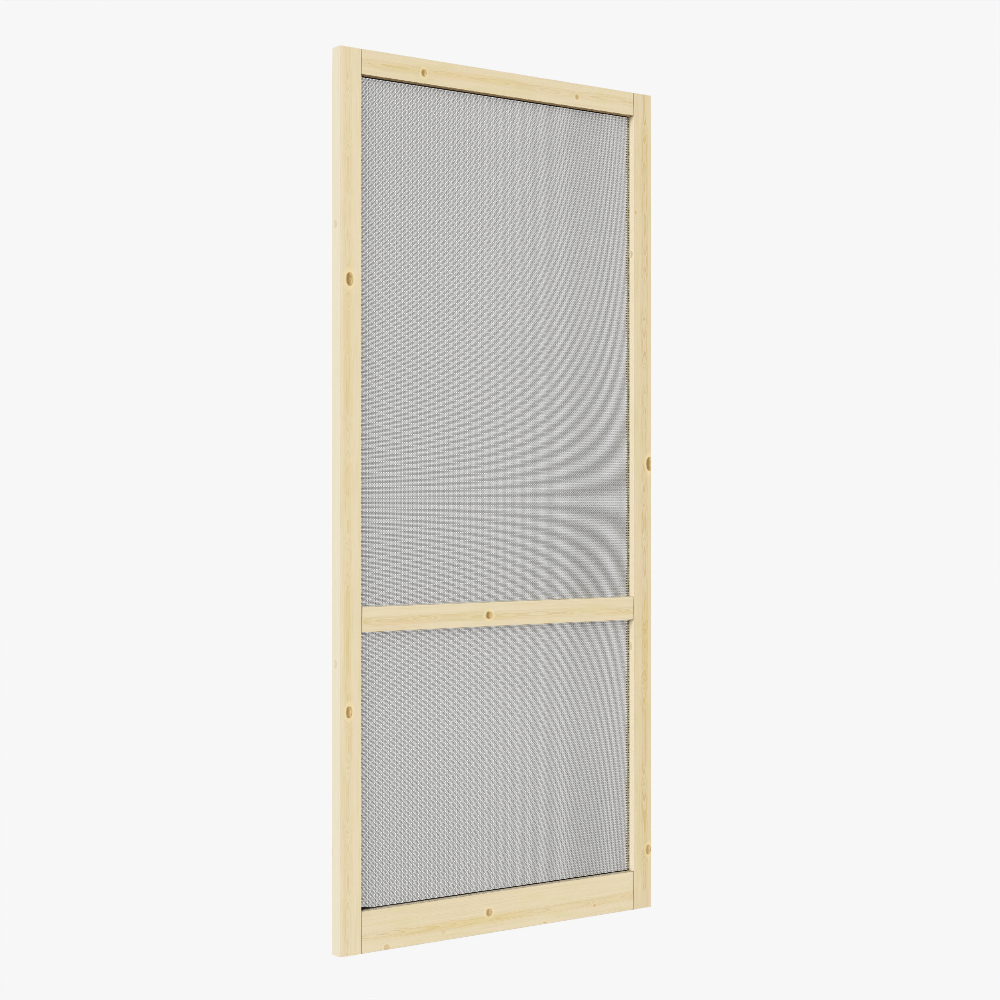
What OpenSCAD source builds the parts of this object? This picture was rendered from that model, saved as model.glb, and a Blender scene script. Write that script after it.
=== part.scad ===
// Wooden screen door leaf: two stiles, three rails on stub tenons, and two
// insect screens, each held in a rebate by four mitred wooden beads.
//
// The origin is on the outer edge of the left stile, where the hinges go: at
// the foot of the leaf, halfway through its thickness. X runs across the leaf,
// Y from its front to its back, and Z up.

/* [Leaf] */
// Width of the whole leaf
leaf_w = 914; // [600:1:1100]
// Height of the whole leaf
leaf_h = 2032; // [1800:1:2400]
// Thickness of the stiles and rails
leaf_t = 35; // [32:0.5:45]

/* [Stiles and rails] */
// Face width of each stile
stile_w = 56; // [50:1:110]
// Face width of the top rail
top_rail_w = 57; // [50:1:120]
// Face width of the middle rail
mid_rail_w = 57; // [50:1:150]
// Face width of the bottom rail
bottom_rail_w = 95; // [60:1:250]
// Height of the middle rail's centre line above the foot of the leaf
mid_rail_z = 750; // [500:1:1200]
// Radius of the eased long edges
edge_r = 1; // [0.5:0.5:3]

/* [Tenons] */
// Thickness of a tenon
tenon_t = 10; // [6:0.5:12]
// Length of a tenon
tenon_l = 36; // [20:1:45]
// Shoulder above and below a tenon
tenon_shoulder = 15; // [13:0.5:18]
// Gap between a tenon and the walls of its mortise
tenon_fit = 0.2; // [0.1:0.05:0.5]
// Gap between a tenon's end and the bottom of its mortise
mortise_relief = 2; // [1:0.5:4]

/* [Screens] */
// Thickness of the wood in front of a screen
lip_t = 17.5; // [14:0.5:19]
// Width of the rebate round each opening
rebate_w = 12; // [9:0.5:12.5]
// Thickness of the woven screen
screen_t = 0.5; // [0.3:0.1:1]
// Gap between the screen's edge and the rebate's wall
screen_edge_gap = 1; // [0.5:0.5:4]
// Open cells across each screen, a coarse grid that stands for its fine weave
screen_cells = 12; // [4:1:12]
// Width of the bars between those cells
screen_bar_w = 14; // [6:1:24]

/* [Beads] */
// Thickness of a bead, from the screen to its back
bead_t = 11.5; // [8:0.5:12]
// Gap between a bead and the rebate's wall
bead_fit = 0.3; // [0.1:0.1:0.6]
// Radius of the round along a bead's inner edge
bead_round_r = 4; // [1:0.5:6]
// Depth of the quirk beside the round
quirk_d = 1.2; // [0.5:0.1:2]
// Gap between two beads at a mitre
mitre_gap = 0.3; // [0.1:0.1:0.6]

/* [Hidden] */

// Cuts run past the wood by this much
overrun = 5;
$fn = 48;

// Faces of the leaf
front_y = -leaf_t / 2;
back_y = leaf_t / 2;
screen_y = front_y + lip_t;
bead_y = screen_y + screen_t;

// Rails: their length between the stiles, and the height of each foot
rail_l = leaf_w - 2 * stile_w;
top_rail_z0 = leaf_h - top_rail_w;
mid_rail_z0 = mid_rail_z - mid_rail_w / 2;
bottom_rail_z0 = 0;

// Openings: [foot, head]. Their sides are the stiles' inner edges
upper_opening = [mid_rail_z0 + mid_rail_w, top_rail_z0];
lower_opening = [bottom_rail_w, mid_rail_z0];
bead_w = rebate_w - bead_fit;

// What is left of a corner once a round of radius r is inside it, in the
// quarter where x and y are positive
module corner_waste(r) {
    difference() {
        translate([-r, -r]) square(r + overrun);
        translate([-r, -r]) circle(r);
    }
}

// Section of a stile or rail: w across the face, leaf_t through the wood,
// with its four long edges eased
module eased_section(w) {
    difference() {
        translate([0, front_y]) square([w, leaf_t]);
        for (side = [0, 1], face = [0, 1])
            translate([side * w, face == 0 ? front_y : back_y])
                mirror([1 - side, 0]) mirror([0, 1 - face]) corner_waste(edge_r);
    }
}

// The rebate that a screen and its beads lie in, cut from the back
module rebate(opening) {
    translate([stile_w - rebate_w, screen_y, opening[0] - rebate_w])
        cube([
            rail_l + 2 * rebate_w,
            back_y - screen_y + overrun,
            opening[1] - opening[0] + 2 * rebate_w
        ]);
}

module both_rebates() {
    rebate(upper_opening);
    rebate(lower_opening);
}

// A bar shaped like a tenon at both ends of a rail. With a gap it is the
// space that the mortises take
module tenon_bar(rail_z0, rail_w, gap, relief) {
    reach = tenon_l + relief;
    translate([stile_w - reach, -tenon_t / 2 - gap, rail_z0 + tenon_shoulder - gap])
        cube([rail_l + 2 * reach, tenon_t + 2 * gap, rail_w - 2 * (tenon_shoulder - gap)]);
}

module mortises() {
    tenon_bar(top_rail_z0, top_rail_w, tenon_fit, mortise_relief);
    tenon_bar(mid_rail_z0, mid_rail_w, tenon_fit, mortise_relief);
    tenon_bar(bottom_rail_z0, bottom_rail_w, tenon_fit, mortise_relief);
}

// A stile whose outer edge is at x
module stile(x) {
    color("burlywood")
        difference() {
            translate([x, 0, 0]) linear_extrude(leaf_h) eased_section(stile_w);
            both_rebates();
            mortises();
        }
}

// A rail of face width w with its foot at z0
module rail(z0, w) {
    color("wheat")
        union() {
            difference() {
                translate([stile_w, 0, z0])
                    rotate([90, 0, 90]) mirror([1, 0, 0])
                        linear_extrude(rail_l) rotate(90) eased_section(w);
                both_rebates();
            }
            tenon_bar(z0, w, 0, 0);
        }
}

// The woven screen as one thin sheet, lying on the floor of its rebate. Its
// weave is a coarse grid of cells, about as long as they are wide
module screen(opening) {
    inset = rebate_w - screen_edge_gap;
    height = opening[1] - opening[0];
    pitch_x = rail_l / screen_cells;
    rows = round(height / pitch_x);
    pitch_z = height / rows;
    color("dimgray")
        translate([stile_w, bead_y, opening[0]])
            rotate([90, 0, 0]) linear_extrude(screen_t)
                difference() {
                    translate([-inset, -inset])
                        square([rail_l + 2 * inset, height + 2 * inset]);
                    for (column = [0 : screen_cells - 1], row = [0 : rows - 1])
                        translate([
                            column * pitch_x + screen_bar_w / 2,
                            row * pitch_z + screen_bar_w / 2
                        ])
                            square([pitch_x - screen_bar_w, pitch_z - screen_bar_w]);
                }
}

// Section of a bead. The opening's edge is at x = 0 and the wood of the
// frame is towards positive x; y runs from the screen to the back
module bead_section() {
    difference() {
        square([bead_w, bead_t]);
        // the round on the inner edge
        translate([0, bead_t]) mirror([1, 0]) corner_waste(bead_round_r);
        // the quirk, a small step between the round and the flat
        translate([bead_round_r, bead_t - quirk_d]) square([quirk_d, quirk_d + overrun]);
    }
}

// A bead along X, its inner face down at z = 0, centred on x = 0, with both
// ends mitred. span is the length of the opening's side
module bead(span) {
    half_outer = span / 2 + bead_w;
    color("tan")
        difference() {
            translate([-half_outer, 0, 0])
                rotate([90, 0, 90]) mirror([1, 0, 0])
                    linear_extrude(2 * half_outer) rotate(90) bead_section();
            for (end = [0, 1])
                mirror([end, 0, 0])
                    translate([span / 2 - mitre_gap / 2, 0, 0]) mitre_waste();
        }
}

// The wood that a mitre takes off a bead's end: everything beyond a plane
// that leans outwards at 45 degrees from the origin
module mitre_waste() {
    reach = bead_w + overrun;
    rotate([90, 0, 0]) translate([0, 0, -bead_t - overrun])
        linear_extrude(bead_t + 2 * overrun)
            polygon([[-overrun, -overrun], [reach, reach], [reach, -overrun]]);
}

// One of the four beads of an opening
module opening_bead(opening, side) {
    mid_x = leaf_w / 2;
    mid_z = (opening[0] + opening[1]) / 2;
    height = opening[1] - opening[0];
    if (side == "top")
        translate([mid_x, bead_y, opening[1]]) bead(rail_l);
    if (side == "bottom")
        translate([mid_x, bead_y, opening[0]]) mirror([0, 0, 1]) bead(rail_l);
    if (side == "left")
        translate([stile_w, bead_y, mid_z]) rotate([0, -90, 0]) bead(height);
    if (side == "right")
        translate([leaf_w - stile_w, bead_y, mid_z]) rotate([0, 90, 0]) bead(height);
}

stile(0);  // left_stile
stile(leaf_w - stile_w);  // right_stile
rail(top_rail_z0, top_rail_w);  // top_rail
rail(mid_rail_z0, mid_rail_w);  // middle_rail
rail(bottom_rail_z0, bottom_rail_w);  // bottom_rail
screen(upper_opening);  // upper_screen
screen(lower_opening);  // lower_screen
opening_bead(upper_opening, "left");  // upper_left_bead
opening_bead(upper_opening, "right");  // upper_right_bead
opening_bead(upper_opening, "top");  // upper_top_bead
opening_bead(upper_opening, "bottom");  // upper_bottom_bead
opening_bead(lower_opening, "left");  // lower_left_bead
opening_bead(lower_opening, "right");  // lower_right_bead
opening_bead(lower_opening, "top");  // lower_top_bead
opening_bead(lower_opening, "bottom");  // lower_bottom_bead
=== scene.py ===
"""Looks of a wooden screen door leaf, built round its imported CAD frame.

All lengths are in metres. X runs across the leaf from its hinge edge, Y from
its front to its back, and Z up. The CAD wood stays and gets pine materials. The
two plain CAD screens are replaced by woven meshes made of single yarns, and the
beads get the brads that hold them.
"""

import math

import bmesh
import bpy
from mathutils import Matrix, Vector


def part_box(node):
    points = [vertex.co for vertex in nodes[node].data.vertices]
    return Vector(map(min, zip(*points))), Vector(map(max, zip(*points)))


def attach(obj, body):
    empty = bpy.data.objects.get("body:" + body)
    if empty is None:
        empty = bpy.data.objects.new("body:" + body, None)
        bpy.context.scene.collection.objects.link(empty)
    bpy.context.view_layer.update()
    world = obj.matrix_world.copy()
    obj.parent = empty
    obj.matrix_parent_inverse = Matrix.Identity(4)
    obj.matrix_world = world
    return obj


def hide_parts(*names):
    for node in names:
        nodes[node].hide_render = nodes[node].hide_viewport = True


MM = 0.001

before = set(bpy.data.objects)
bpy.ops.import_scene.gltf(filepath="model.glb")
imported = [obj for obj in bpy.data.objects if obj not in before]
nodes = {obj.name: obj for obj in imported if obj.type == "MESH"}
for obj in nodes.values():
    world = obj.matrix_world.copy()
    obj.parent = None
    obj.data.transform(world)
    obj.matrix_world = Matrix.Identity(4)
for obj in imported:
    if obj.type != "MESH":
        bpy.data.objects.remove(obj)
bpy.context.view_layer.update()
scene = bpy.context.scene

# Camera
# The photograph: a level view, turned so that the hinge edge shows
PHOTO_SIDE_PX = 1000
FOCAL_PX = 1955
SENSOR_MM = 36
VIEW_TURN = math.radians(36.5)
CAMERA_PLACE = Vector((-2.304, -3.730, 1.019))

camera_data = bpy.data.cameras.new("camera")
camera_data.sensor_width = SENSOR_MM
camera_data.lens = FOCAL_PX / PHOTO_SIDE_PX * SENSOR_MM
camera = bpy.data.objects.new("camera", camera_data)
camera.location = CAMERA_PLACE
camera.rotation_euler = (math.pi / 2, 0, -VIEW_TURN)
scene.collection.objects.link(camera)
scene.camera = camera


# Node helpers
# The Mix node's sockets when it mixes colours: its factor and both colours, and its result
MIX_INPUTS = (0, 6, 7)
MIX_OUTPUT = 2


def add(tree, kind, inputs=None, **settings):
    """A new shader node, with its settings and its input sockets filled in."""
    made = tree.nodes.new(kind)
    for name, value in settings.items():
        setattr(made, name, value)
    for name, value in (inputs or {}).items():
        socket = made.inputs[name]
        if isinstance(value, bpy.types.NodeSocket):
            tree.links.new(value, socket)
        else:
            socket.default_value = value
    return made


def calc(tree, operation, *values):
    """A Math node's result."""
    return add(tree, "ShaderNodeMath", dict(enumerate(values)), operation=operation).outputs[0]


def vector_calc(tree, operation, *values):
    """A Vector Math node."""
    return add(tree, "ShaderNodeVectorMath", dict(enumerate(values)), operation=operation)


def ease(tree, value, start, end, top=1.0):
    """A smooth step from nought, where value is start, to top, where value is end."""
    return add(
        tree, "ShaderNodeMapRange",
        {"Value": value, "From Min": start, "From Max": end, "To Max": top},
        interpolation_type="SMOOTHSTEP",
    ).outputs[0]


def mix(tree, factor, a, b, blend="MIX"):
    """A colour mix."""
    inputs = dict(zip(MIX_INPUTS, (factor, a, b)))
    made = add(tree, "ShaderNodeMix", inputs, data_type="RGBA", blend_type=blend)
    return made.outputs[MIX_OUTPUT]


def share_between(tree, share, low, high):
    """The value that lies this share of the way from low to high."""
    return calc(tree, "MULTIPLY_ADD", share, high - low, low)


def noise_at(tree, place, scale, detail):
    """Even noise at a place; scale is per metre."""
    return add(
        tree, "ShaderNodeTexNoise", {"Vector": place, "Scale": scale, "Detail": detail}
    ).outputs[0]


def facing(tree):
    """The way the surface faces, as its parts along X, Y and Z."""
    normal = add(tree, "ShaderNodeNewGeometry").outputs["Normal"]
    return add(tree, "ShaderNodeSeparateXYZ", {0: normal}).outputs


def linear(red, green, blue):
    """A colour on screen, 0 to 255, as the linear colour that a shader takes."""
    channels = [c / 255 for c in (red, green, blue)]
    return [c / 12.92 if c <= 0.04045 else ((c + 0.055) / 1.055) ** 2.4 for c in channels] + [1]


def new_material(name, kind="ShaderNodeBsdfPrincipled"):
    """A new material, its node tree and the one shader in it."""
    material = bpy.data.materials.new(name)
    material.use_nodes = True
    tree = material.node_tree
    tree.nodes.clear()
    shader = tree.nodes.new(kind)
    output = tree.nodes.new("ShaderNodeOutputMaterial")
    tree.links.new(shader.outputs[0], output.inputs["Surface"])
    return material, tree, shader


def give(piece, material):
    """The piece has this material and no other."""
    piece.data.materials.clear()
    piece.data.materials.append(material)


# Pine
RING_W = 3.0 * MM
EARLY_WOOD = linear(234, 220, 187)
LATE_WOOD = linear(206, 181, 126)
ROSY_WOOD = linear(234, 214, 186)
GREENISH_WOOD = linear(225, 213, 166)
GOLDEN_WOOD = linear(228, 205, 142)
FIBRE = linear(186, 158, 112)
KNOT_PALE = linear(226, 193, 137)
KNOT_DARK = linear(158, 127, 70)
KNOT_HALO = linear(246, 224, 172)
# The stiles' narrow sides are painted paler: partly paler sanded wood, partly painted light. The dull
# colour also holds painted shade
SIDE_PALE_AND_LIT = linear(243, 237, 220)
SIDE_DULL_AND_SHADED = linear(229, 223, 207)
SIDE_PAINT_SHARE = 0.55
# Painted shade under the rails
UNDERSIDE_SHADE = linear(214, 166, 96)
# Dark of the lines at the joints, also painted shade on the rails' ends and the left stile's inner edge
JOINT_LINE_AND_SHADE_DARK = linear(70, 54, 32)
# The dark lines at a rail's left and right ends: which end, how wide and how dark
JOINTS = ((-1, 1.4 * MM, 0.5), (1, 2.3 * MM, 0.75))
# This share of each line's width is fully dark
JOINT_CORE_SHARE = 0.7
# Painted shade on the eased edges and on the rails' tops, and how strong it is on the edges
EDGE_AND_TOP_SHADE = linear(188, 174, 144)
ARRIS_SHADE = 0.85

# Each member: the direction of its grain, where the tree's heart lies from its centre (across the
# face, and into the wood), how far the heart wanders, how bold its rings are, how dark the wood is,
# the colour of its narrow sides where that differs (paler wood with painted light and shade), and
# its own seed
MEMBERS = {
    "left_stile": dict(
        grain="Z", heart=(-8 * MM, -9 * MM), wander=(6 * MM, 28 * MM), bold=0.8, dark=0.05,
        edge=SIDE_PALE_AND_LIT, seed=3.0,
    ),
    "right_stile": dict(
        grain="Z", heart=(6 * MM, -9 * MM), wander=(8 * MM, 34 * MM), bold=1.4, dark=0.27,
        edge=SIDE_DULL_AND_SHADED, seed=11.4,
    ),
    "top_rail": dict(
        grain="X", heart=(2 * MM, -9 * MM), wander=(9 * MM, 26 * MM), bold=0.9, dark=0.13,
        seed=21.7,
    ),
    "middle_rail": dict(
        grain="X", heart=(-4 * MM, -9 * MM), wander=(9 * MM, 26 * MM), bold=1.1, dark=0.07,
        seed=35.2,
    ),
    "bottom_rail": dict(
        grain="X", heart=(-14 * MM, -9 * MM), wander=(18 * MM, 26 * MM), bold=1.1, dark=0.08,
        seed=47.9,
    ),
}

# Knots: the member, the face that shows the knot, its place as a share of the member's visible
# length and of that face's width, its half width and half length, and how dark it is
KNOT_SHARES = [
    ("left_stile", "front", 0.7445, 0.45, 10 * MM, 16 * MM, 1.0),
    ("left_stile", "front", 0.268, 0.42, 9 * MM, 14 * MM, 0.95),
    ("left_stile", "outer", 0.805, 0.57, 6 * MM, 11 * MM, 0.7),
    ("left_stile", "outer", 0.321, 0.57, 6 * MM, 11 * MM, 0.7),
    ("left_stile", "outer", 0.114, 0.93, 4 * MM, 8 * MM, 0.6),
    ("right_stile", "front", 0.546, 0.9, 11 * MM, 18 * MM, 1.0),
    ("right_stile", "front", 0.071, 0.83, 9 * MM, 13 * MM, 0.8),
    ("right_stile", "front", 0.854, 0.09, 4 * MM, 6 * MM, 0.6),
    ("right_stile", "outer", 0.803, 0.32, 6 * MM, 10 * MM, 1.0),
    ("right_stile", "outer", 0.322, 0.38, 7 * MM, 11 * MM, 1.0),
    ("top_rail", "front", 0.2125, 0.43, 9 * MM, 8 * MM, 0.95),
    ("top_rail", "front", 0.7741, 0.43, 7 * MM, 7 * MM, 0.75),
    ("top_rail", "front", 0.026, 0.47, 3 * MM, 4 * MM, 0.3),
    ("middle_rail", "front", 0.4431, 0.47, 9.5 * MM, 10 * MM, 1.0),
    ("bottom_rail", "front", 0.4431, 0.51, 9.5 * MM, 10 * MM, 0.85),
    ("bottom_rail", "front", 0.2788, 0.20, 6 * MM, 7 * MM, 0.25),
    ("bottom_rail", "front", 0.085, 0.06, 7 * MM, 9 * MM, 0.5),
    ("bottom_rail", "front", 0.651, 0.02, 4 * MM, 7 * MM, 0.6),
    ("bottom_rail", "front", 0.843, 0.27, 4 * MM, 6 * MM, 0.5),
]
# Half of a knot's size into the wood
KNOT_DEPTH = 14 * MM
# Where a knot's edge, dark rim, dark side and halo begin and are full, in the knot's half sizes
KNOT_EDGE = (1.06, 0.9)
KNOT_RIM = (0.72, 0.95)
KNOT_SIDE = (0.45, -0.35)
KNOT_GLOW = (1.9, 1.2)
RIM_SHARE = 0.6
GLOW_SHARE = 0.8
HALO_SHARE = 0.6
# Rings swell round a knot by this share of its half width, and the swell fades at this rate
SWELL_SHARE = 0.6
SWELL_FADE = 0.4

# The kinds of unevenness in wood: how fast each changes, per metre across the grain, into the wood
# and along the grain, then its seed and its detail
WOOD_NOISES = {
    "ripple": ((90, 90, 14), 0, 2.0),
    "fibre": ((700, 700, 14), 7, 3.0),
    "streak": ((190, 190, 5), 29, 2.0),
    "patch": ((34, 34, 3.2), 13, 2.0),
    "hue": ((60, 60, 9), 19, 2.0),
    "mottle": ((520, 520, 150), 41, 2.0),
}
RIPPLE_W = 1.6 * MM
# How often the heart wanders, per metre, across the face and into the wood
WANDER_RATES = (3.1, 4.3)
WANDER_SEEDS = (0, 50)
WANDER_DETAIL = 1.5
# How late the wood is from a ring's start to its end, and how uneven the rings are
RING_STOPS = ((0.0, 0.05), (0.5, 0.22), (0.86, 1.0), (0.95, 0.7), (1.0, 0.05))
RING_UNEVEN = 1.6
RING_NOISE_SCALE = 260
# The rings stand out up to the first distance beside the heart, and less and less up to the second
HEART_CORE = 4 * MM
HEART_FADE = 14 * MM
HEART_LINES = 0.55
# Where each tint of the wood begins and is full, as a value of its noise, and how strong it is
TINTS = {
    "lines": (0.35, 0.7, 0.22),
    "rosy": (0.5, 0.75, 0.55),
    "greenish": (0.5, 0.25, 0.55),
    "golden": (0.35, 0.65, 0.45),
    "streaks": (0.45, 0.75, 0.14),
    "fibres": (0.35, 0.8, 0.09),
    "mottle": (0.47, 0.6, 0.65),
}
# Painted shade by how a face is turned: how far it is turned where each tint begins and is full, and
# how strong it is
FACE_TINTS = {
    "shaded edge": (0.2, 0.6, 0.9),
    "underside": (-0.5, -0.9, 0.7),
    "top": (0.3, 0.8, 0.9),
    "end": (0.5, 0.8, 0.95),
}
# Early and late wood's roughness, and the grain's relief
PINE_ROUGHNESS = (0.5, 0.62)
PINE_SPECULAR = 0.3
GRAIN_BUMP = 0.2
GRAIN_DEPTH = 0.05 * MM


def wood_place(tree, grain, centre):
    """The point being shaded, from the member's centre, as (across, into the wood, along)."""
    point = vector_calc(
        tree, "SUBTRACT", add(tree, "ShaderNodeTexCoord").outputs["Object"], centre
    ).outputs[0]
    parts = add(tree, "ShaderNodeSeparateXYZ", {0: point}).outputs
    across, along = (parts[0], parts[2]) if grain == "Z" else (parts[2], parts[0])
    return across, parts[1], along


def drift(tree, along, per_metre, seed, reach):
    """A slow random offset along the grain, up to half of reach either way."""
    noise = add(
        tree, "ShaderNodeTexNoise",
        {"W": calc(tree, "ADD", along, seed), "Scale": per_metre, "Detail": WANDER_DETAIL},
        noise_dimensions="1D",
    )
    return calc(tree, "MULTIPLY", calc(tree, "SUBTRACT", noise.outputs[0], 0.5), reach)


def wood_noise(tree, place, kind, seed):
    """One kind of unevenness in the wood, drawn out along the grain."""
    scale, own_seed, detail = WOOD_NOISES[kind]
    vector = add(tree, "ShaderNodeCombineXYZ", dict(enumerate(place))).outputs[0]
    shift = [seed + own_seed] * 3
    return noise_at(tree, vector_calc(tree, "MULTIPLY_ADD", vector, scale, shift).outputs[0], 1, detail)


def knot_place(member, face, length_share, width_share, low, high):
    """A knot's middle, from the member's centre, as (across, into the wood, along)."""
    centre = (low + high) / 2
    run, rise = (2, 0) if MEMBERS[member]["grain"] == "Z" else (0, 2)
    along = low[run] + (high[run] - low[run]) * length_share - centre[run]
    if face == "front":
        across = low[rise] + (high[rise] - low[rise]) * width_share - centre[rise]
        return across, low[1] - centre[1], along
    inward = low[1] + (high[1] - low[1]) * width_share - centre[1]
    return low[rise] - centre[rise], inward, along


def knots_of(tree, member, place, low, high):
    """How far rings swell round the member's knots, and its knots, their dark sides and halos."""
    swell, core, dark, halo = 0.0, 0.0, 0.0, 0.0
    vector = add(tree, "ShaderNodeCombineXYZ", dict(enumerate(place))).outputs[0]
    for owner, face, length_share, width_share, half_w, half_l, strength in KNOT_SHARES:
        if owner != member:
            continue
        at = knot_place(member, face, length_share, width_share, low, high)
        size = (half_w, KNOT_DEPTH, half_l) if face == "front" else (KNOT_DEPTH, half_w, half_l)
        unit = vector_calc(
            tree, "DIVIDE", vector_calc(tree, "SUBTRACT", vector, at).outputs[0], size
        ).outputs[0]
        distance = vector_calc(tree, "LENGTH", unit).outputs["Value"]
        parts = add(tree, "ShaderNodeSeparateXYZ", {0: unit}).outputs
        fading = calc(tree, "MULTIPLY", calc(tree, "POWER", distance, 2), -SWELL_FADE)
        nearness = calc(tree, "EXPONENT", fading)
        swell = calc(tree, "MULTIPLY_ADD", nearness, half_w * SWELL_SHARE, swell)
        inside = ease(tree, distance, *KNOT_EDGE, strength)
        core = calc(tree, "MAXIMUM", inside, core)
        # the side towards the hinges is the dark one, and so is the knot's rim
        if face == "outer":
            sideways = parts[1]
        else:
            sideways = parts[0] if MEMBERS[member]["grain"] == "Z" else parts[2]
        one_side = calc(tree, "MULTIPLY", ease(tree, sideways, *KNOT_SIDE), inside)
        rim = calc(tree, "MULTIPLY", ease(tree, distance, *KNOT_RIM, RIM_SHARE), inside)
        dark = calc(tree, "MAXIMUM", calc(tree, "MAXIMUM", one_side, rim), dark)
        glow = calc(tree, "MULTIPLY", ease(tree, distance, *KNOT_GLOW, strength), GLOW_SHARE)
        halo = calc(tree, "MAXIMUM", glow, halo)
    return swell, core, dark, halo


def ring_shade(tree, radius, seed):
    """Nought in a ring's pale early wood, rising to one in its dark late wood."""
    uneven = add(
        tree, "ShaderNodeTexNoise",
        {"W": calc(tree, "ADD", radius, seed), "Scale": RING_NOISE_SCALE},
        noise_dimensions="1D",
    ).outputs[0]
    rings = calc(tree, "MULTIPLY_ADD", uneven, RING_UNEVEN, calc(tree, "DIVIDE", radius, RING_W))
    late = add(tree, "ShaderNodeValToRGB", {"Fac": calc(tree, "FRACT", rings)})
    ramp = late.color_ramp
    for stop, (position, value) in zip(ramp.elements, (RING_STOPS[0], RING_STOPS[-1])):
        stop.position = position
        stop.color = (value, value, value, 1)
    for position, value in RING_STOPS[1:-1]:
        ramp.elements.new(position).color = (value, value, value, 1)
    return late.outputs[0]


def heart_distances(tree, place, heart, wander, seed):
    """How far the point lies beside the tree's heart, and how far from it in all."""
    offsets = []
    for value, centre, reach, rate, own_seed in zip(
        place, heart, wander, WANDER_RATES, WANDER_SEEDS
    ):
        moved = calc(tree, "ADD", drift(tree, place[2], rate, seed + own_seed, reach), centre)
        offsets.append(calc(tree, "SUBTRACT", value, moved))
    vector = add(tree, "ShaderNodeCombineXYZ", dict(enumerate(offsets))).outputs[0]
    radius = vector_calc(tree, "LENGTH", vector).outputs["Value"]
    ripple = calc(tree, "SUBTRACT", wood_noise(tree, place, "ripple", seed), 0.5)
    return offsets[0], calc(tree, "MULTIPLY_ADD", ripple, RIPPLE_W, radius)


def clear_wood(tree, place, side, late, fibre, bold, dark, seed):
    """The wood's colour away from its knots."""
    streak = wood_noise(tree, place, "streak", seed)
    patch = wood_noise(tree, place, "patch", seed)
    hue = wood_noise(tree, place, "hue", seed)
    heartwood = ease(tree, calc(tree, "ABSOLUTE", side), HEART_FADE, HEART_CORE)
    lined = calc(
        tree, "MULTIPLY_ADD", heartwood, HEART_LINES * bold, ease(tree, patch, *TINTS["lines"])
    )
    tone = mix(tree, calc(tree, "MULTIPLY", late, lined), EARLY_WOOD, LATE_WOOD)
    tone = mix(tree, ease(tree, hue, *TINTS["rosy"]), tone, ROSY_WOOD)
    tone = mix(tree, ease(tree, hue, *TINTS["greenish"]), tone, GREENISH_WOOD)
    start, end, strength = TINTS["golden"]
    golden = calc(tree, "MULTIPLY", heartwood, ease(tree, patch, start, end, strength * bold))
    tone = mix(tree, golden, tone, GOLDEN_WOOD)
    tone = mix(tree, ease(tree, streak, *TINTS["streaks"]), tone, LATE_WOOD)
    tone = mix(tree, ease(tree, fibre, *TINTS["fibres"]), tone, FIBRE)
    darker = [1 - dark * (1 - late_c / early_c) for late_c, early_c in zip(LATE_WOOD, EARLY_WOOD)]
    return mix(tree, 1.0, tone, darker, "MULTIPLY")


def knotted(tree, tone, place, core, dark, halo, seed):
    """The wood's colour with its knots and the pale halos round them."""
    mottle = wood_noise(tree, place, "mottle", seed)
    knot = mix(tree, dark, KNOT_PALE, KNOT_DARK)
    knot = mix(tree, ease(tree, mottle, *TINTS["mottle"]), knot, KNOT_DARK)
    tone = mix(tree, calc(tree, "MULTIPLY", halo, HALO_SHARE), tone, KNOT_HALO)
    return mix(tree, core, tone, knot)


def tinted_faces(tree, tone, grain, edge, member, along, shoulder):
    """The wood's colour with its narrow sides painted paler, painted shade on its edges and other faces
    by how they turn, and dark lines at its joints.

    shoulder is how far a rail's shoulders are from its middle.
    """
    normal = facing(tree)
    sideways = calc(tree, "ABSOLUTE", normal[0])
    # the narrow sides are painted paler: sanded wood with painted light and shade
    if edge:
        tone = mix(tree, calc(tree, "MULTIPLY", sideways, SIDE_PAINT_SHARE), tone, edge)
    # the eased edges get painted shade. The product is a half at most, where they lean most
    leaning = calc(tree, "MULTIPLY", normal[0 if grain == "Z" else 2], normal[1])
    edge_shading = calc(tree, "MULTIPLY", calc(tree, "ABSOLUTE", leaning), 2 * ARRIS_SHADE)
    tone = mix(tree, edge_shading, tone, EDGE_AND_TOP_SHADE)
    if member == "left_stile":
        # the left stile's side towards the rails, with its eased edge, gets painted shade
        tone = mix(tree, ease(tree, normal[0], *FACE_TINTS["shaded edge"]), tone, JOINT_LINE_AND_SHADE_DARK)
    if member and grain == "X":
        # painted shade on the rail's underside
        tone = mix(tree, ease(tree, normal[2], *FACE_TINTS["underside"]), tone, UNDERSIDE_SHADE)
        # painted shade on the rail's top
        tone = mix(tree, ease(tree, normal[2], *FACE_TINTS["top"]), tone, EDGE_AND_TOP_SHADE)
        # painted shade on the rail's end faces, and a dark line where the rail meets each stile
        tone = mix(tree, ease(tree, sideways, *FACE_TINTS["end"]), tone, JOINT_LINE_AND_SHADE_DARK)
        for end, width, strength in JOINTS:
            reach = calc(tree, "MULTIPLY", along, end)
            core = shoulder - width * JOINT_CORE_SHARE
            line = ease(tree, reach, shoulder - width, core, strength)
            tone = mix(tree, line, tone, JOINT_LINE_AND_SHADE_DARK)
    return tone


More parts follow.
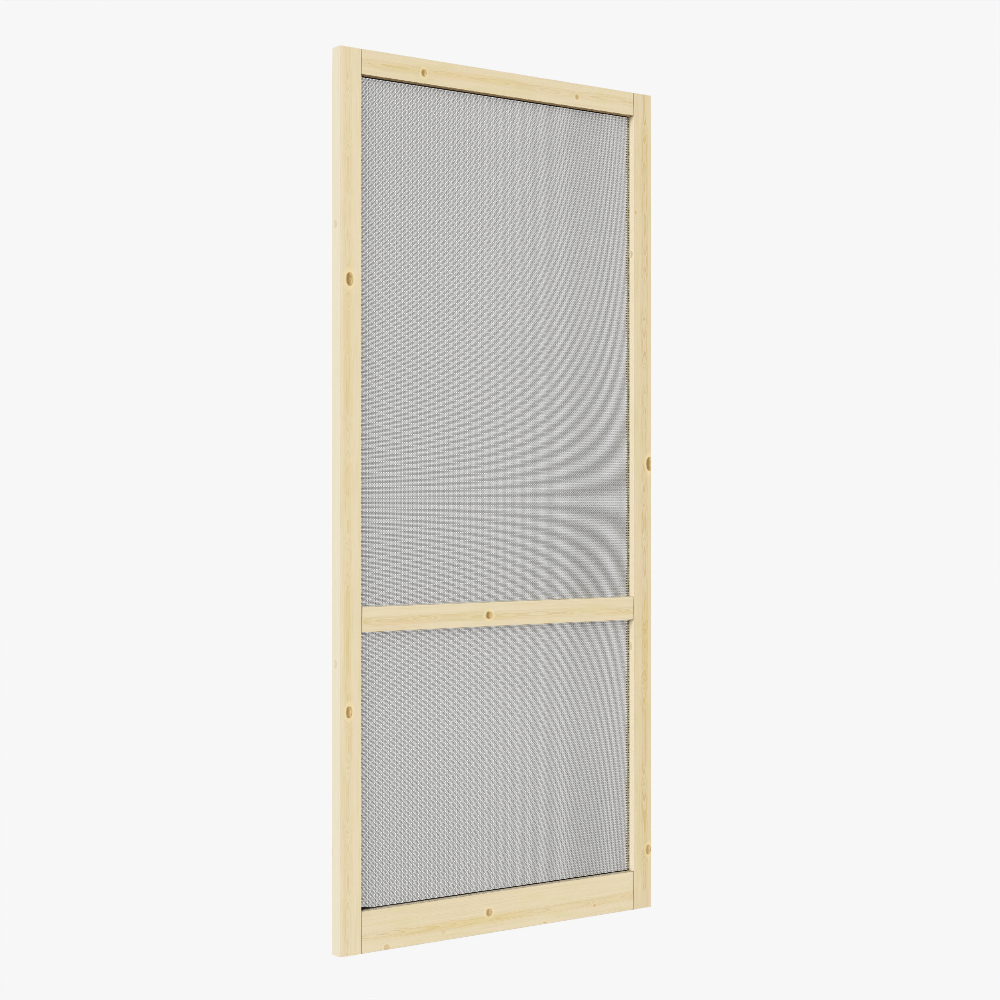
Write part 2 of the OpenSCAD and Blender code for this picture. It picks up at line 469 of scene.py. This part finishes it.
def pine(name, grain, low, high, heart, wander, bold, dark, seed, edge=None, member=None):
    """Planed pine: growth rings round a wandering heart, with knots where a member has them."""
    material, tree, shader = new_material(name)
    place = wood_place(tree, grain, tuple((low + high) / 2))
    side, radius = heart_distances(tree, place, heart, wander, seed)
    if member:
        swell, core, knot_dark, halo = knots_of(tree, member, place, low, high)
        radius = calc(tree, "ADD", radius, swell)
    late = ring_shade(tree, radius, seed)
    fibre = wood_noise(tree, place, "fibre", seed)
    tone = clear_wood(tree, place, side, late, fibre, bold, dark, seed)
    if member:
        tone = knotted(tree, tone, place, core, knot_dark, halo, seed)
    tone = tinted_faces(tree, tone, grain, edge, member, place[2], (high.x - low.x) / 2)
    tree.links.new(tone, shader.inputs["Base Color"])
    tree.links.new(share_between(tree, late, *PINE_ROUGHNESS), shader.inputs["Roughness"])
    shader.inputs["Specular IOR Level"].default_value = PINE_SPECULAR
    relief = {
        "Height": calc(tree, "ADD", fibre, late), "Strength": GRAIN_BUMP, "Distance": GRAIN_DEPTH,
    }
    tree.links.new(add(tree, "ShaderNodeBump", relief).outputs[0], shader.inputs["Normal"])
    return material


opening_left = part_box("left_stile")[1].x
opening_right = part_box("right_stile")[0].x
for member, wood in MEMBERS.items():
    low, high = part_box(member)
    if wood["grain"] == "X":
        # a rail's tenons are out of sight
        low.x, high.x = opening_left, opening_right
    give(nodes[member], pine("pine_" + member, member=member, low=low, high=high, **wood))

# The beads' heart lies outside them, so their rings are nearly straight
BEAD_WOOD = dict(heart=(18 * MM, 30 * MM), wander=(8 * MM, 16 * MM), bold=0.7, dark=0.0)
BEAD_SEED = 60.0
beads = sorted(name for name in nodes if name.endswith("_bead"))
for number, name in enumerate(beads):
    low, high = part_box(name)
    upright = "left" in name or "right" in name
    give(
        nodes[name],
        pine(
            "pine_" + name, grain="Z" if upright else "X", low=low, high=high,
            seed=BEAD_SEED + number, **BEAD_WOOD,
        ),
    )


# Woven screens
# The weave repeats after one tile, across and up, and the tone of its yarns drifts with it. One
# tile's middle lies at TILE_X and TILE_Z
TILE_W = 6.309 * MM
TILE_H = 6.292 * MM
TILE_X = 14.168 * MM
TILE_Z = 1015.307 * MM
UPRIGHTS_A_TILE = 4
LEVELS_A_TILE = 5
# The upright yarns stand this far to the right of their places in a tile
UPRIGHT_LEAD = 0.19 * MM
UPRIGHT_W = 0.28 * MM
LEVEL_W = 0.77 * MM
# The level yarns are thin where they are dark and wide where they are pale, by up to this share
LEVEL_SWELL = 0.38
YARN_SIDES = 6
YARN_DARK = linear(20, 20, 18)
YARN_PALE = linear(255, 254, 248)
# The tone beside each stile, from nought to one as the eye sees it, and how far it drifts with the
# diagonals
TONE_LEFT = 0.41
TONE_RIGHT = 0.66
DIAGONAL_DRIFT = 0.215
EYE_POWER = 2.2
# The left stile shades this much of the screen. The yarns there are paler, to make up for it
SHADE_W = 34 * MM
SHADE_LIFT = 0.13
# How far the tone drifts across and up a tile, for the upright yarns and for the level ones
UPRIGHT_DRIFT = (-0.03, 0.06)
LEVEL_DRIFT = (0.05, -0.34)
# The tone of the yarns' back, and how far it drifts up a tile
BACK_TONE = 0.55
BACK_DRIFT = -0.25
# How far the surface is turned to the back where that tone begins and is full
BACK_FACING = (0.05, 0.35)
# The yarns' fine specks: how many there are to a metre, and how much they change the tone
SPECK_SCALE = 700
SPECK_SHARE = 0.1
YARN_ROUGHNESS = (0.4, 0.6)
# The name of the mask that marks the screens in the picture
SCREEN_PASS = "screen"
# Bands of dark and pale yarn beside the right stile: painted shadow of the screen on the bead behind
# it, and the bead's wood between
SHADOW_BANDS_W = 11.4 * MM
SHADOW_BANDS_PALE = linear(226, 210, 150)
PAINTED_SHADE_DARK = linear(12, 8, 3)
# Where, in the weave's wave, the dark bands turn into pale ones
SHADOW_BANDS_TURN = (-0.25, 0.25)
# The dark bands stand in two rows with a paler gap between them: how far from the strip's middle the
# gap begins and is full, and how pale it is
SHADOW_BANDS_GAP = (2.1 * MM, 1.2 * MM)
SHADOW_BANDS_GAP_SHARE = 0.6
# The strip's left edge fades over this width
SHADOW_BANDS_EASE = 1 * MM
# Rows of dark yarn along the screen's head and its foot are painted shade, wider in the corner by the
# left stile
SHADE_ROW_W = 0.6 * MM
HEAD_SHADE_ROWS_W = 2.4 * MM
FOOT_SHADE_ROWS_W = 2.4 * MM
CORNER_SHADE_W = 8 * MM
CORNER_SHADE_L = 42 * MM
SHADE_ROW_PALE = linear(120, 100, 64)
SHADE_ROW_SPECK_SCALE = 260
SHADE_ROW_SPECKS = (0.5, 0.8, 0.5)
SHADE_ROW_ROUGHNESS = (0.5, 0.7)


def mark_screen(tree):
    """Marks what a screen's material covers, so that the picture's finish can leave it alone."""
    add(tree, "ShaderNodeOutputAOV", {"Value": 1.0}, aov_name=SCREEN_PASS)


def weave_waves(tree, parts):
    """Two waves, each with one turn a tile: one runs across the screen and one up it."""
    waves = []
    for axis, start, length in ((0, TILE_X, TILE_W), (2, TILE_Z, TILE_H)):
        distance = calc(tree, "SUBTRACT", parts[axis], start)
        waves.append(calc(tree, "COSINE", calc(tree, "MULTIPLY", distance, math.tau / length)))
    return waves


def yarn_tone(tree, parts, waves, across_drift, up_drift):
    """The tone of the yarns, from nought to one as the eye sees it."""
    slope = (TONE_RIGHT - TONE_LEFT) / opening_right
    tone = calc(tree, "MULTIPLY_ADD", parts[0], slope, TONE_LEFT)
    lift = ease(tree, parts[0], opening_left + SHADE_W, opening_left, SHADE_LIFT)
    tone = calc(tree, "ADD", tone, lift)
    diagonal = calc(tree, "MULTIPLY", *waves)
    tone = calc(tree, "MULTIPLY_ADD", diagonal, -DIAGONAL_DRIFT, tone)
    tone = calc(tree, "MULTIPLY_ADD", waves[0], across_drift, tone)
    tone = calc(tree, "MULTIPLY_ADD", waves[1], up_drift, tone)
    back = calc(tree, "MULTIPLY_ADD", waves[1], BACK_DRIFT, BACK_TONE)
    behind = ease(tree, facing(tree)[1], *BACK_FACING)
    return calc(tree, "MULTIPLY_ADD", behind, calc(tree, "SUBTRACT", back, tone), tone)


def with_shadow_bands(tree, colour, across, up_wave):
    """The yarns' colour with the bands of painted shadow beside the right stile."""
    shadow_bands = mix(tree, ease(tree, up_wave, *SHADOW_BANDS_TURN), PAINTED_SHADE_DARK, SHADOW_BANDS_PALE)
    middle = calc(tree, "SUBTRACT", across, opening_right - SHADOW_BANDS_W / 2)
    between = ease(tree, calc(tree, "ABSOLUTE", middle), *SHADOW_BANDS_GAP, SHADOW_BANDS_GAP_SHARE)
    shadow_bands = mix(tree, between, shadow_bands, SHADOW_BANDS_PALE)
    start = opening_right - SHADOW_BANDS_W
    return mix(tree, ease(tree, across, start - SHADOW_BANDS_EASE, start), colour, shadow_bands)


def yarn_material(name, across_drift, up_drift):
    """Coated yarn, whose tone rises and falls within each tile of the weave."""
    material, tree, shader = new_material(name)
    place = add(tree, "ShaderNodeTexCoord").outputs["Object"]
    parts = add(tree, "ShaderNodeSeparateXYZ", {0: place}).outputs
    waves = weave_waves(tree, parts)
    tone = yarn_tone(tree, parts, waves, across_drift, up_drift)
    speck = noise_at(tree, place, SPECK_SCALE, 2)
    tone = calc(tree, "MULTIPLY_ADD", calc(tree, "SUBTRACT", speck, 0.5), SPECK_SHARE, tone)
    limited = add(tree, "ShaderNodeClamp", {"Value": tone}).outputs[0]
    colour = mix(tree, calc(tree, "POWER", limited, EYE_POWER), YARN_DARK, YARN_PALE)
    # painted shadow, in bands, beside the right stile
    colour = with_shadow_bands(tree, colour, parts[0], waves[1])
    tree.links.new(colour, shader.inputs["Base Color"])
    tree.links.new(share_between(tree, speck, *YARN_ROUGHNESS), shader.inputs["Roughness"])
    mark_screen(tree)
    return material


def shade_row_material():
    """The dark yarn of the rows of painted shade."""
    material, tree, shader = new_material("painted_shade_yarn")
    place = add(tree, "ShaderNodeTexCoord").outputs["Object"]
    speck = noise_at(tree, place, SHADE_ROW_SPECK_SCALE, 3)
    colour = mix(tree, ease(tree, speck, *SHADE_ROW_SPECKS), PAINTED_SHADE_DARK, SHADE_ROW_PALE)
    tree.links.new(colour, shader.inputs["Base Color"])
    tree.links.new(share_between(tree, speck, *SHADE_ROW_ROUGHNESS), shader.inputs["Roughness"])
    mark_screen(tree)
    return material


def add_yarn(vertices, faces, start, end, across, inward):
    """A straight yarn from start to end, closed at both ends.

    across and inward are the two half axes of its section.
    """
    first = len(vertices)
    for centre in (start, end):
        for side in range(YARN_SIDES):
            angle = math.tau * side / YARN_SIDES
            vertices.append(centre + across * math.cos(angle) + inward * math.sin(angle))
    for side in range(YARN_SIDES):
        after = (side + 1) % YARN_SIDES
        faces.append(
            (first + side, first + after, first + YARN_SIDES + after, first + YARN_SIDES + side)
        )
    faces.append(tuple(first + side for side in reversed(range(YARN_SIDES))))
    faces.append(tuple(first + YARN_SIDES + side for side in range(YARN_SIDES)))


def yarn_places(low, high, start, pitch, diameter):
    """Where the yarns lie between low and high, half a pitch off a tile's start."""
    first = math.ceil((low + diameter / 2 - start) / pitch - 0.5)
    last = math.floor((high - diameter / 2 - start) / pitch - 0.5)
    return [start + (number + 0.5) * pitch for number in range(first, last + 1)]


def new_piece(name, vertices, faces, materials):
    """A mesh object on the leaf's one body, its faces pointing outwards."""
    mesh = bpy.data.meshes.new(name)
    mesh.from_pydata(vertices, [], faces)
    for material in materials:
        mesh.materials.append(material)
    edit = bmesh.new()
    edit.from_mesh(mesh)
    bmesh.ops.recalc_face_normals(edit, faces=edit.faces)
    edit.to_mesh(mesh)
    edit.free()
    piece = bpy.data.objects.new(name, mesh)
    scene.collection.objects.link(piece)
    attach(piece, "root")
    return piece


def shade_rows(name, head, foot):
    """The rows of dark yarn that paint shade along a screen's head and foot, each as its height and its
    right end.
    """
    rows = []
    if name == "upper_mesh":
        count = math.ceil(HEAD_SHADE_ROWS_W / SHADE_ROW_W)
        rows = [(head - (row + 0.5) * SHADE_ROW_W, opening_right) for row in range(count)]
    else:
        for row in range(math.ceil(CORNER_SHADE_W / SHADE_ROW_W)):
            rise = (row + 0.5) * SHADE_ROW_W
            end = opening_right
            if rise > FOOT_SHADE_ROWS_W:
                end = opening_left + CORNER_SHADE_L * (CORNER_SHADE_W - rise) / (CORNER_SHADE_W - FOOT_SHADE_ROWS_W)
            if end > opening_left:
                rows.append((foot + rise, end))
    return rows


def woven_mesh(name, node, materials):
    """The insect screen that stands for a CAD screen: upright yarns in front, level ones behind."""
    low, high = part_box(node)
    # each layer of yarns takes half of the sheet's thickness
    layer = (high.y - low.y) / 2
    inward = Vector((0, layer / 2 / math.sin(math.tau / YARN_SIDES), 0))
    front_y, back_y = low.y + layer / 2, high.y - layer / 2
    vertices, faces = [], []
    half = Vector((UPRIGHT_W / 2, 0, 0))
    start = TILE_X + UPRIGHT_LEAD
    for x in yarn_places(low.x, high.x, start, TILE_W / UPRIGHTS_A_TILE, UPRIGHT_W):
        foot, head = Vector((x, front_y, low.z)), Vector((x, front_y, high.z))
        add_yarn(vertices, faces, foot, head, half, inward)
    upright_faces = len(faces)
    widest = LEVEL_W * (1 + LEVEL_SWELL)
    for z in yarn_places(low.z, high.z, TILE_Z, TILE_H / LEVELS_A_TILE, widest):
        wave = math.cos(math.tau * (z - TILE_Z) / TILE_H)
        half = Vector((0, 0, LEVEL_W * (1 - LEVEL_SWELL * wave) / 2))
        left, right = Vector((low.x, back_y, z)), Vector((high.x, back_y, z))
        add_yarn(vertices, faces, left, right, half, inward)
    level_faces = len(faces)
    # dark rows of painted shade along the screen's head and foot
    half = Vector((0, 0, SHADE_ROW_W / 2))
    rows = shade_rows(name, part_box("top_rail")[0].z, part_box("bottom_rail")[1].z)
    for z, end in rows:
        left, right = Vector((opening_left, low.y, z)), Vector((end, low.y, z))
        add_yarn(vertices, faces, left, right, half, inward)
    piece = new_piece(name, vertices, faces, materials)
    for face in piece.data.polygons:
        # a yarn's sides are smooth and its ends are flat
        face.use_smooth = len(face.vertices) == 4
        if face.index >= upright_faces:
            face.material_index = 1 if face.index < level_faces else 2
    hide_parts(node)


yarns = [
    yarn_material("upright_yarn", *UPRIGHT_DRIFT),
    yarn_material("level_yarn", *LEVEL_DRIFT),
    shade_row_material(),
]
for name, node in (("upper_mesh", "upper_screen"), ("lower_mesh", "lower_screen")):
    woven_mesh(name, node, yarns)

# Brads
BRAD_R = 1.1 * MM
BRAD_RISE = 0.5 * MM
BRAD_SINK = 0.3 * MM
BRAD_GAP = 150 * MM
BRAD_SIDES = 12
BRAD_RINGS = 3
# How far a brad is from the end of its bead, and across the bead from its inner edge
BRAD_END = 25 * MM
BRAD_ACROSS = 8.4 * MM
STEEL_DULL = linear(150, 150, 152)
STEEL_BRIGHT = linear(206, 206, 208)
STEEL_NOISE_SCALE = 900
STEEL_ROUGHNESS = (0.25, 0.55)


def steel():
    """Bright drawn steel, a little dulled."""
    material, tree, shader = new_material("brad_steel")
    place = add(tree, "ShaderNodeTexCoord").outputs["Object"]
    uneven = noise_at(tree, place, STEEL_NOISE_SCALE, 3)
    tone = mix(tree, uneven, STEEL_DULL, STEEL_BRIGHT)
    tree.links.new(tone, shader.inputs["Base Color"])
    tree.links.new(share_between(tree, uneven, *STEEL_ROUGHNESS), shader.inputs["Roughness"])
    shader.inputs["Metallic"].default_value = 1.0
    return material


def add_brad(vertices, faces, place):
    """A domed head on a bead's back, closed by a flat base just inside the wood."""
    first = len(vertices)
    rings = [(BRAD_R, -BRAD_SINK)]
    for ring in range(BRAD_RINGS):
        angle = math.pi / 2 * ring / BRAD_RINGS
        rings.append((BRAD_R * math.cos(angle), BRAD_RISE * math.sin(angle)))
    for radius, rise in rings:
        for side in range(BRAD_SIDES):
            angle = math.tau * side / BRAD_SIDES
            vertices.append(
                place + Vector((radius * math.cos(angle), rise, radius * math.sin(angle)))
            )
    vertices.append(place + Vector((0, BRAD_RISE, 0)))
    for ring in range(len(rings) - 1):
        for side in range(BRAD_SIDES):
            after = (side + 1) % BRAD_SIDES
            a, b = first + ring * BRAD_SIDES, first + (ring + 1) * BRAD_SIDES
            faces.append((a + side, a + after, b + after, b + side))
    top = first + (len(rings) - 1) * BRAD_SIDES
    for side in range(BRAD_SIDES):
        faces.append((top + side, top + (side + 1) % BRAD_SIDES, len(vertices) - 1))
    faces.append(tuple(first + side for side in reversed(range(BRAD_SIDES))))


def brads_of(vertices, faces, name):
    """A row of brads along one bead."""
    low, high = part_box(name)
    run, rise = (2, 0) if "left" in name or "right" in name else (0, 2)
    spread = high[run] - low[run] - 2 * BRAD_END
    spaces = max(1, round(spread / BRAD_GAP))
    for number in range(spaces + 1):
        place = Vector((0, high.y, 0))
        place[run] = low[run] + BRAD_END + spread * number / spaces
        outer_is_low = "left" in name or name.endswith("bottom_bead")
        place[rise] = high[rise] - BRAD_ACROSS if outer_is_low else low[rise] + BRAD_ACROSS
        add_brad(vertices, faces, place)


brad_vertices, brad_faces = [], []
for name in beads:
    brads_of(brad_vertices, brad_faces, name)
brads = new_piece("bead_brads", brad_vertices, brad_faces, [steel()])
for face in brads.data.polygons:
    face.use_smooth = len(face.vertices) < BRAD_SIDES

# Stage
BACKGROUND = linear(247, 247, 247)
ROOM = 40.0
BACKDROP_SIDES = 48
FLOOR_DROP = 0.1 * MM


def plain_glow(name, colour):
    """A surface of one even brightness."""
    material, _, glow = new_material(name, "ShaderNodeEmission")
    glow.inputs["Color"].default_value = colour
    return material


def seen_only(piece):
    """The camera sees the piece, but it neither lights nor shades anything."""
    for ray in ("diffuse", "glossy", "transmission", "volume_scatter", "shadow"):
        setattr(piece, "visible_" + ray, False)


pale = plain_glow("pale_ground", BACKGROUND)
bpy.ops.mesh.primitive_plane_add(size=ROOM, location=(0, 0, -FLOOR_DROP))
floor = bpy.context.object
floor.name = "floor"
bpy.ops.mesh.primitive_uv_sphere_add(
    segments=BACKDROP_SIDES, ring_count=BACKDROP_SIDES // 2, radius=ROOM / 2
)
backdrop = bpy.context.object
backdrop.name = "backdrop"
for piece in (floor, backdrop):
    give(piece, pale)
    seen_only(piece)

# Light
# A broad key from the hinge side, a fill from the latch side, one from behind for the back, and a
# faint bounce from below. Turn is from the front towards the hinge side, and lift is upwards
SUNS = {
    "key": dict(turn=57, lift=21, spread=50, strength=3.48),
    "fill": dict(turn=-25, lift=18, spread=60, strength=0.75),
    "rear": dict(turn=212, lift=25, spread=60, strength=3.4),
    "bounce": dict(turn=30, lift=-35, spread=60, strength=1.0),
}
# The even light from all around
AROUND = 0.03


def sun(name, turn, lift, spread, strength):
    """A soft light from far off; turn, lift and spread are in degrees."""
    data = bpy.data.lights.new(name, "SUN")
    data.energy = strength
    data.angle = math.radians(spread)
    lamp = bpy.data.objects.new(name, data)
    lamp.rotation_euler = (math.radians(90 - lift), 0, math.radians(-turn))
    scene.collection.objects.link(lamp)


for name, placing in SUNS.items():
    sun(name, **placing)

world = bpy.data.worlds.new("studio")
world.use_nodes = True
world.node_tree.nodes["Background"].inputs["Color"].default_value = (1, 1, 1, 1)
world.node_tree.nodes["Background"].inputs["Strength"].default_value = AROUND
scene.world = world

# Picture
# A narrow filter keeps the fine pattern of the weave. The picture is then freed of noise and its
# edges are smoothed, everywhere but on the screens
FILTER_PX = 0.44
# The screens' mask is grown over the gaps between the yarns, and then shrunk to just inside its edge
SCREEN_GROW_PX = 2
SCREEN_SHRINK_PX = -3

scene.view_settings.view_transform = "Standard"
scene.view_settings.look = "None"
scene.cycles.pixel_filter_type = "BLACKMAN_HARRIS"
scene.cycles.filter_width = FILTER_PX
scene.cycles.use_denoising = False
view_layer = scene.view_layers[0]
view_layer.use_pass_normal = True
view_layer.use_pass_diffuse_color = True
screen_pass = view_layer.aovs.add()
screen_pass.name = SCREEN_PASS
screen_pass.type = "VALUE"

scene.use_nodes = True
picture = scene.node_tree
picture.nodes.clear()
layers = picture.nodes.new("CompositorNodeRLayers").outputs
clean = picture.nodes.new("CompositorNodeDenoise")
for source, target in (("Image", "Image"), ("Normal", "Normal"), ("DiffCol", "Albedo")):
    picture.links.new(layers[source], clean.inputs[target])
smooth = picture.nodes.new("CompositorNodeAntiAliasing")
picture.links.new(clean.outputs[0], smooth.inputs[0])
mask = layers[SCREEN_PASS]
for step in (SCREEN_GROW_PX, SCREEN_SHRINK_PX):
    resize = picture.nodes.new("CompositorNodeDilateErode")
    resize.distance = step
    picture.links.new(mask, resize.inputs[0])
    mask = resize.outputs[0]
inside = picture.nodes.new("CompositorNodeMath")
inside.operation = "GREATER_THAN"
picture.links.new(mask, inside.inputs[0])
inside.inputs[1].default_value = 0.5
joined = picture.nodes.new("CompositorNodeMixRGB")
picture.links.new(inside.outputs[0], joined.inputs[0])
picture.links.new(smooth.outputs[0], joined.inputs[1])
picture.links.new(layers["Image"], joined.inputs[2])
result = picture.nodes.new("CompositorNodeComposite")
picture.links.new(joined.outputs[0], result.inputs[0])
